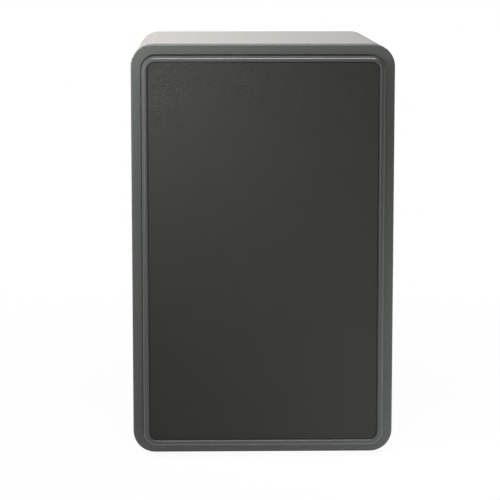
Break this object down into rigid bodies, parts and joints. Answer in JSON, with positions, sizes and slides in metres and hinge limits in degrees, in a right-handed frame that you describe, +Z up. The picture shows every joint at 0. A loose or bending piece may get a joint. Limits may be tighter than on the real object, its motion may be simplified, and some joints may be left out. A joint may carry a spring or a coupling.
{
  "type": "bookshelf speaker",
  "caption": "Two-way bookshelf loudspeaker with a rounded cabinet, a proud pull-off grille, rear bass port and screw-down binding posts.",
  "frame": {"origin": "on the resting plane under the middle of the overall width and depth", "axes": "+Z up, the grille faces -Y, +X is to the right for someone looking at the grille"},
  "size_m": [0.213, 0.282, 0.3375],
  "materials": {
    "cabinet_lacquer": "satin black lacquer over fibreboard",
    "baffle_paint": "fine satin charcoal paint",
    "bare_board": "black-stained fibreboard",
    "grille_plastic": "satin charcoal moulding",
    "grille_cloth": "woven charcoal cloth",
    "soft_rubber": "matt black rubber",
    "cast_basket": "black powder coat",
    "cone": "woven fibre, clear coated",
    "dust_cap": "polished moulding",
    "coil_former": "thin rolled sheet",
    "copper_wire": "enamelled copper",
    "spider_cloth": "resin-stiffened cloth",
    "plated_steel": "zinc-plated",
    "ferrite": "ground ceramic magnet",
    "terminal_tags": "tinned brass on board",
    "black_screws": "black-oxide steel",
    "faceplate": "satin moulding",
    "silk": "coated silk",
    "moulded_black": "textured black moulding",
    "gold_plate": "gold-plated brass",
    "insert_brass": "plain brass",
    "red_knob": "clear red moulding",
    "black_knob": "black moulding",
    "circuit_board": "phenolic board",
    "board_parts": "wrapped film capacitors",
    "ceramic": "cement resistors",
    "standoff_nylon": "nylon",
    "wool": "polyester batting",
    "lead_sleeve": "insulated twin lead"
  },
  "bodies": {
    "enclosure": {"cabinet_shell": "cabinet_lacquer", "front_baffle": "baffle_paint", "back_panel": "bare_board", "window_brace": "bare_board", "rubber_feet": "soft_rubber", "peg_sockets": "soft_rubber", "woofer_surround": "soft_rubber", "woofer_gasket": "soft_rubber", "woofer_basket": "cast_basket", "woofer_inductor": "copper_wire", "tweeter_inductor": "copper_wire", "woofer_spider": "spider_cloth", "woofer_top_plate": "plated_steel", "woofer_yoke": "plated_steel", "tweeter_top_plate": "plated_steel", "tweeter_yoke": "plated_steel", "post_nuts": "plated_steel", "woofer_magnet": "ferrite", "tweeter_magnet": "ferrite", "woofer_terminals": "terminal_tags", "tweeter_terminals": "terminal_tags", "woofer_screws": "black_screws", "tweeter_screws": "black_screws", "cup_screws": "black_screws", "port_screws": "black_screws", "board_screws": "black_screws", "tweeter_faceplate": "faceplate", "tweeter_surround": "silk", "port_flare": "moulded_black", "port_duct": "moulded_black", "terminal_cup": "moulded_black", "tweeter_rear_chamber": "moulded_black", "negative_stud": "gold_plate", "positive_stud": "gold_plate", "wall_inserts": "insert_brass", "positive_collar": "red_knob", "negative_collar": "black_knob", "crossover_board": "circuit_board", "crossover_capacitors": "board_parts", "crossover_resistors": "ceramic", "board_standoffs": "standoff_nylon", "damping_wool": "wool", "woofer_lead": "lead_sleeve", "tweeter_lead": "lead_sleeve", "input_lead": "lead_sleeve"},
    "grille": {"grille_frame": "grille_plastic", "grille_cloth": "grille_cloth", "grille_pegs": "grille_plastic"},
    "cone_assembly": {"woofer_cone": "cone", "woofer_dust_cap": "dust_cap", "woofer_coil_former": "coil_former", "woofer_winding": "copper_wire"},
    "dome_assembly": {"tweeter_dome": "silk", "tweeter_coil": "copper_wire"},
    "negative_washer": {"negative_washer": "gold_plate"},
    "negative_knob": {"negative_knob": "black_knob"},
    "positive_washer": {"positive_washer": "gold_plate"},
    "positive_knob": {"positive_knob": "red_knob"}
  },
  "joints": [
    {"name": "grille_pull", "type": "slide", "parent": "enclosure", "child": "grille", "axis": [0, -1, 0], "range_m": [0, 0.05]},
    {"name": "cone_travel", "type": "slide", "parent": "enclosure", "child": "cone_assembly", "axis": [0, -1, 0], "range_m": [-0.004, 0.004], "stiffness_N_per_m": 1200, "deforming": ["woofer_surround", "woofer_spider"]},
    {"name": "dome_travel", "type": "slide", "parent": "enclosure", "child": "dome_assembly", "axis": [0, -1, 0], "range_m": [-0.0005, 0.0005], "stiffness_N_per_m": 400, "deforming": ["tweeter_surround"]},
    {"name": "negative_rise", "type": "slide", "parent": "enclosure", "child": "negative_washer", "axis": [0, 1, 0], "range_m": [0, 0.005]},
    {"name": "negative_turn", "type": "hinge", "parent": "negative_washer", "child": "negative_knob", "pos_m": [-0.00953, 0.12445, 0.0945], "axis": [0, 1, 0], "range_deg": [0, 1800]},
    {"name": "positive_rise", "type": "slide", "parent": "enclosure", "child": "positive_washer", "axis": [0, 1, 0], "range_m": [0, 0.005]},
    {"name": "positive_turn", "type": "hinge", "parent": "positive_washer", "child": "positive_knob", "pos_m": [0.00953, 0.12445, 0.0945], "axis": [0, 1, 0], "range_deg": [0, 1800]}
  ],
  "couplings": [
    {"joint": "negative_turn", "follows": "negative_rise", "rad_per_m": 6283.2},
    {"joint": "positive_turn", "follows": "positive_rise", "rad_per_m": 6283.2}
  ]
}
